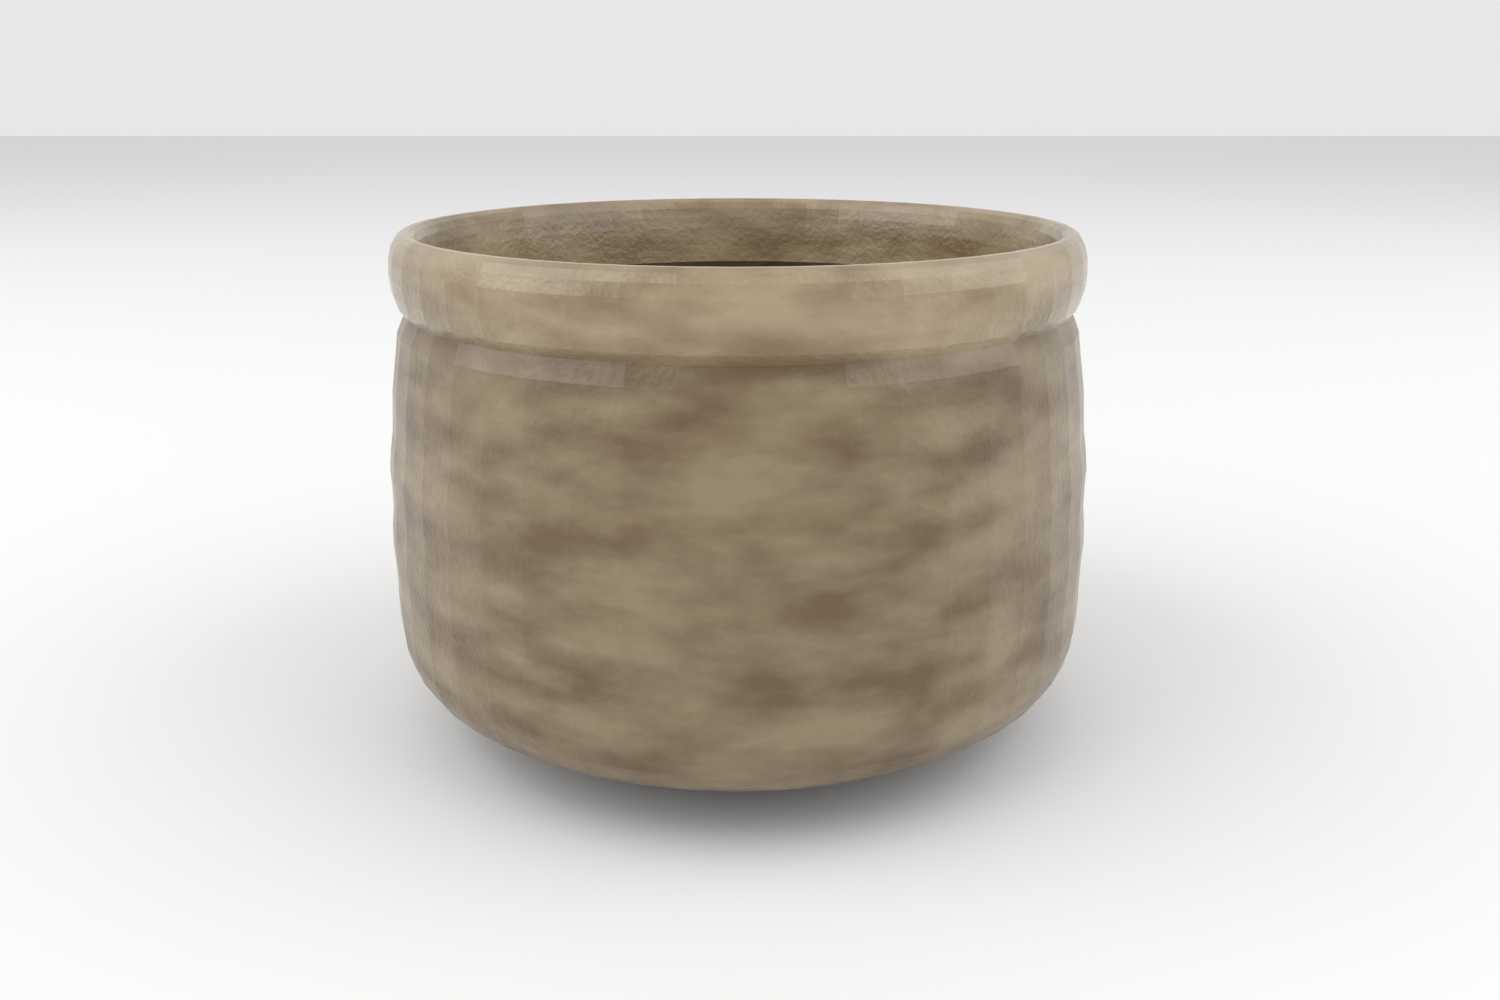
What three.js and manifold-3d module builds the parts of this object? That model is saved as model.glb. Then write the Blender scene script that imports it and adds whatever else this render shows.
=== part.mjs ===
// Cylindrical tea bowl with a rolled lip, in millimetres.
// +Z is up, the axis is Z and the foot stands on z = 0.
import * as THREE from "three";
import { mergeVertices } from "three/addons/utils/BufferGeometryUtils.js";
import Module from "manifold-3d";

const wasm = await Module();
wasm.setup();

// Driving dimensions
const HEIGHT = 84;
const BODY_RADIUS = 59.3;
const NECK_RADIUS = 54.7;
const NECK_HEIGHT = 71.5;
const GLAZE = 0.7;
const WALL = 6.3;
const LIP_WALL = 5;
const FLOOR = 6.3;
const FOOT_HEIGHT = 5;
const FOOT_RADIUS = 29.4;
const FOOT_WIDTH = 7.8;
const FOOT_BEVEL = 0.8;
const ARRIS_HEIGHT = 21;
const ARRIS_WIDTH = 5.3;
const EDGE_HEIGHT = 9.4;
const TRIM_RADIUS = 52;
const TRIM_HEIGHT = 8.2;
const SHOULDER_HEIGHT = 66;
const SHOULDER_STEP = 1.7;
const LIP_SWELL = 2.2;
const RIDGE_DEPTH = 0.22;
const RIDGE_PITCH = 13;

// Facets round the axis and steps along each outline
const SEGMENTS = 48;
const WALL_STEPS = 20;
const LIP_STEPS = 5;

// Colours, as the finishes look in daylight
const CLAY = { color: 0x4a3828, roughness: 0.85, metalness: 0 };
const ASH_GLAZE = { color: 0x7d6e4b, roughness: 0.35, metalness: 0 };
const LIP_GLAZE = { color: 0x96825f, roughness: 0.3, metalness: 0 };
const WELL_GLAZE = { color: 0x504123, roughness: 0.3, metalness: 0 };

const group = new THREE.Group();

// Turn an outline round Z and add it to the group as one closed body.
function turn(name, outline, finish) {
  const lathe = new THREE.LatheGeometry(outline, SEGMENTS);
  lathe.rotateX(Math.PI / 2);
  lathe.deleteAttribute("normal");
  lathe.deleteAttribute("uv");
  const merged = mergeVertices(lathe);
  const body = new wasm.Manifold(new wasm.Mesh({
    numProp: 3,
    vertProperties: new Float32Array(merged.attributes.position.array),
    triVerts: new Uint32Array(merged.index.array),
  }));
  const { vertProperties, triVerts } = body.getMesh();
  const geometry = new THREE.BufferGeometry();
  geometry.setAttribute("position", new THREE.BufferAttribute(vertProperties, 3));
  geometry.setIndex(new THREE.BufferAttribute(triVerts, 1));
  geometry.computeVertexNormals();
  const mesh = new THREE.Mesh(geometry, new THREE.MeshStandardMaterial(finish));
  mesh.name = name;
  group.add(mesh);
}

// The points of an outline moved sideways, to the right of its direction if distance > 0.
function beside(points, distance) {
  return points.map((point, i) => {
    const before = points[Math.max(i - 1, 0)];
    const after = points[Math.min(i + 1, points.length - 1)];
    const along = after.clone().sub(before).normalize();
    return new THREE.Vector2(point.x + distance * along.y, point.y - distance * along.x);
  });
}

// The glazed outside: a rounded arris, a slightly swelling wall and a shoulder under the lip.
const shoulderRadius = NECK_RADIUS + SHOULDER_STEP;
const outside = new THREE.Path();
outside.moveTo(BODY_RADIUS - ARRIS_WIDTH, EDGE_HEIGHT);
outside.quadraticCurveTo(BODY_RADIUS, (2 * EDGE_HEIGHT + TRIM_HEIGHT + 9) / 3, BODY_RADIUS, ARRIS_HEIGHT);
outside.bezierCurveTo(
  BODY_RADIUS + 0.2, 0.42 * HEIGHT, BODY_RADIUS, 0.57 * HEIGHT, shoulderRadius, SHOULDER_HEIGHT,
);
outside.quadraticCurveTo(
  shoulderRadius - 0.3, NECK_HEIGHT - SHOULDER_STEP, NECK_RADIUS, NECK_HEIGHT,
);
const glazed = outside.getSpacedPoints(WALL_STEPS);

// Throwing ridges run round the wall and fade out at the arris and the shoulder.
for (const point of glazed) {
  const share = (point.y - ARRIS_HEIGHT) / (SHOULDER_HEIGHT - ARRIS_HEIGHT);
  if (share > 0 && share < 1) {
    const wave = Math.cos((2 * Math.PI * (point.y - ARRIS_HEIGHT)) / RIDGE_PITCH);
    point.x += RIDGE_DEPTH * Math.sin(Math.PI * share) * wave;
  }
}
const clayOutside = beside(glazed, -GLAZE);
clayOutside[WALL_STEPS].set(NECK_RADIUS - GLAZE, NECK_HEIGHT);

// The well: a flat floor, a wide curve into the wall, and a wall that closes in to the lip.
const wellFloor = FOOT_HEIGHT + FLOOR + GLAZE;
const wellRadius = BODY_RADIUS - WALL - GLAZE;
const mouthRadius = NECK_RADIUS + LIP_SWELL - LIP_WALL - 1.3;
const well = new THREE.Path();
well.moveTo(0, wellFloor);
well.lineTo(wellRadius / 2, wellFloor);
well.quadraticCurveTo(wellRadius - 1, wellFloor, wellRadius, wellFloor + FOOT_RADIUS / 2);
well.quadraticCurveTo(wellRadius + 1, NECK_HEIGHT / 2 + wellFloor, mouthRadius, NECK_HEIGHT);
const wellFace = well.getSpacedPoints(WALL_STEPS - 4);
const clayInside = beside(wellFace, GLAZE);
clayInside[0].x = 0;
clayInside[clayInside.length - 1].set(mouthRadius + GLAZE, NECK_HEIGHT);

// Thrown body of bare clay under the glaze, with its trimmed underside
turn("clay_body", [
  new THREE.Vector2(0, FOOT_HEIGHT),
  new THREE.Vector2(FOOT_RADIUS, FOOT_HEIGHT),
  new THREE.Vector2(TRIM_RADIUS, TRIM_HEIGHT),
  ...clayOutside,
  ...clayInside.toReversed(),
], CLAY);

// Turned foot ring that the bowl stands on
turn("foot_ring", [
  new THREE.Vector2(FOOT_RADIUS - FOOT_WIDTH + 2 * FOOT_BEVEL, 0),
  new THREE.Vector2(FOOT_RADIUS - 2 * FOOT_BEVEL, 0),
  new THREE.Vector2(FOOT_RADIUS - FOOT_BEVEL, FOOT_BEVEL),
  new THREE.Vector2(FOOT_RADIUS, FOOT_HEIGHT),
  new THREE.Vector2(FOOT_RADIUS - FOOT_WIDTH, FOOT_HEIGHT),
  new THREE.Vector2(FOOT_RADIUS - FOOT_WIDTH + FOOT_BEVEL, FOOT_BEVEL),
  new THREE.Vector2(FOOT_RADIUS - FOOT_WIDTH + 2 * FOOT_BEVEL, 0),
], CLAY);

// Coats of glaze, from the edge over the arris to the neck and over the whole well
turn("outer_glaze", [...glazed, ...clayOutside.toReversed(), glazed[0].clone()], ASH_GLAZE);
turn("inner_glaze", [...clayInside, ...wellFace.toReversed()], WELL_GLAZE);

// Rolled lip: it swells out over the neck, turns over the crest and runs into the well.
const lipRadius = NECK_RADIUS + LIP_SWELL;
const rollHeight = HEIGHT - 1.9;
const crestPull = HEIGHT + (HEIGHT - rollHeight) / 3;
const lip = new THREE.Path();
lip.moveTo(NECK_RADIUS, NECK_HEIGHT);
lip.bezierCurveTo(
  lipRadius, NECK_HEIGHT + 1.7, lipRadius + 0.1, rollHeight - 2.6, lipRadius - 1, rollHeight,
);
lip.bezierCurveTo(
  lipRadius - 2, crestPull, mouthRadius + 2, crestPull, mouthRadius + 1.2, rollHeight,
);
lip.bezierCurveTo(
  mouthRadius + 0.4, rollHeight - 2.6, mouthRadius + 0.2, NECK_HEIGHT + 3.5, mouthRadius, NECK_HEIGHT,
);
turn("lip_bead", [...lip.getPoints(LIP_STEPS), new THREE.Vector2(NECK_RADIUS, NECK_HEIGHT)], LIP_GLAZE);

export default group;
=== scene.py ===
"""Dress the cylindrical tea bowl in its glazes and stage it for the photograph's view."""

import logging
import math
from dataclasses import dataclass

import bpy
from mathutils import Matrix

LOG = logging.getLogger("tea_bowl")
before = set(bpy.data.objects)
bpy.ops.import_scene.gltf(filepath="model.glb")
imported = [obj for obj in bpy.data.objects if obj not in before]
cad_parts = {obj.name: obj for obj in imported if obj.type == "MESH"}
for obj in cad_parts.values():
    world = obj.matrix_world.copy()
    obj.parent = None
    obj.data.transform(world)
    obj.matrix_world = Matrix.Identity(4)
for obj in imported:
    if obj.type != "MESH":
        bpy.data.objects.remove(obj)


@dataclass(frozen=True)
class Glaze:
    """A mottled ceramic finish, made of two tones with a fine bump."""

    name: str
    dark: tuple[float, float, float]
    light: tuple[float, float, float]
    roughness: float
    coat: float
    mottle_scale: float = 60.0
    grain_scale: float = 900.0
    bump: float = 0.0002

    def build(self) -> bpy.types.Material:
        """Build the material.

        Returns:
            A material whose pattern reads Object coordinates.
        """
        material = bpy.data.materials.new(self.name)
        material.use_nodes = True
        nodes, links = material.node_tree.nodes, material.node_tree.links
        shader = nodes["Principled BSDF"]
        place = nodes.new("ShaderNodeTexCoord")
        stretch = nodes.new("ShaderNodeMapping")
        stretch.inputs["Scale"].default_value = (1.0, 1.0, 2.5)
        links.new(place.outputs["Object"], stretch.inputs["Vector"])
        mottle = nodes.new("ShaderNodeTexNoise")
        mottle.inputs["Scale"].default_value = self.mottle_scale
        mottle.inputs["Detail"].default_value = 8.0
        links.new(stretch.outputs["Vector"], mottle.inputs["Vector"])
        tones = nodes.new("ShaderNodeValToRGB")
        tones.color_ramp.elements[0].position = 0.35
        tones.color_ramp.elements[0].color = (*self.dark, 1.0)
        tones.color_ramp.elements[1].position = 0.65
        tones.color_ramp.elements[1].color = (*self.light, 1.0)
        links.new(mottle.outputs["Fac"], tones.inputs["Fac"])
        links.new(tones.outputs["Color"], shader.inputs["Base Color"])
        grain = nodes.new("ShaderNodeTexNoise")
        grain.inputs["Scale"].default_value = self.grain_scale
        links.new(place.outputs["Object"], grain.inputs["Vector"])
        bump = nodes.new("ShaderNodeBump")
        bump.inputs["Distance"].default_value = self.bump
        links.new(grain.outputs["Fac"], bump.inputs["Height"])
        links.new(bump.outputs["Normal"], shader.inputs["Normal"])
        shader.inputs["Roughness"].default_value = self.roughness
        shader.inputs["Coat Weight"].default_value = self.coat
        return material


@dataclass
class Bowl:
    """The bowl's five nodes and the finish of each."""

    clay: Glaze = Glaze("clay", (0.028, 0.016, 0.008), (0.07, 0.042, 0.022), 0.85, 0.0)
    ash: Glaze = Glaze("ash", (0.12, 0.075, 0.03), (0.25, 0.19, 0.11), 0.4, 0.3)
    lip: Glaze = Glaze("lip", (0.2, 0.14, 0.07), (0.36, 0.28, 0.17), 0.3, 0.4)
    well: Glaze = Glaze("well", (0.055, 0.036, 0.012), (0.11, 0.08, 0.035), 0.3, 0.4)

    def dress(self) -> None:
        """Give every node its finish and smooth its facets."""
        finishes = {
            "clay_body": self.clay,
            "foot_ring": self.clay,
            "outer_glaze": self.ash,
            "inner_glaze": self.well,
            "lip_bead": self.lip,
        }
        made: dict[str, bpy.types.Material] = {}
        for node, finish in finishes.items():
            if finish.name not in made:
                made[finish.name] = finish.build()
            piece = bpy.data.objects[node]
            piece.data.materials.clear()
            piece.data.materials.append(made[finish.name])
            for face in piece.data.polygons:
                face.use_smooth = True
            LOG.info("dressed %s with %s", node, finish.name)


@dataclass
class Studio:
    """A pale floor, soft light and the camera of the photograph, in metres."""

    floor_size: float = 6.0
    distance: float = 0.214
    height: float = 0.105
    pitch: float = 17.9
    side: float = 0.0019
    focal_px: float = 1267.0
    image_px: float = 1500.0
    sensor_mm: float = 36.0
    light_size: float = 1.2

    def build(self) -> None:
        """Place the floor, the lights and the camera."""
        bpy.ops.mesh.primitive_plane_add(size=self.floor_size)
        floor = bpy.context.object
        floor.name = "floor"
        pale = bpy.data.materials.new("floor")
        pale.use_nodes = True
        shader = pale.node_tree.nodes["Principled BSDF"]
        shader.inputs["Base Color"].default_value = (0.8, 0.8, 0.8, 1.0)
        shader.inputs["Roughness"].default_value = 0.9
        floor.data.materials.append(pale)
        world = bpy.data.worlds.new("studio")
        world.use_nodes = True
        world.node_tree.nodes["Background"].inputs["Color"].default_value = (0.8, 0.8, 0.8, 1.0)
        bpy.context.scene.world = world
        self.light((-0.9, -0.3, 0.8), 8.0)
        self.light((0.9, -0.2, 0.7), 6.0)
        lens = bpy.data.cameras.new("camera")
        lens.sensor_width = self.sensor_mm
        lens.lens = self.focal_px / self.image_px * self.sensor_mm
        lens.clip_start = 0.005
        camera = bpy.data.objects.new("camera", lens)
        camera.location = (self.side, -self.distance, self.height)
        camera.rotation_euler = (math.radians(90.0 - self.pitch), 0.0, 0.0)
        bpy.context.scene.collection.objects.link(camera)
        bpy.context.scene.camera = camera
        bpy.context.scene.view_settings.view_transform = "Standard"

    def light(self, place: tuple[float, float, float], power: float) -> None:
        """Add a soft square light that faces the bowl.

        Args:
            place: Where the light stands.
            power: Its power in watts.
        """
        lamp = bpy.data.lights.new("soft", "AREA")
        lamp.size = self.light_size
        lamp.energy = power
        holder = bpy.data.objects.new("soft", lamp)
        holder.location = place
        x, y, z = place
        holder.rotation_euler = (math.atan2(math.hypot(x, y), z), 0.0, math.atan2(y, x) + math.pi / 2)
        bpy.context.scene.collection.objects.link(holder)


def main() -> None:
    """Dress and stage the bowl."""
    logging.basicConfig(level=logging.INFO)
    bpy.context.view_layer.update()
    Bowl().dress()
    Studio().build()


if __name__ == "__main__":
    main()
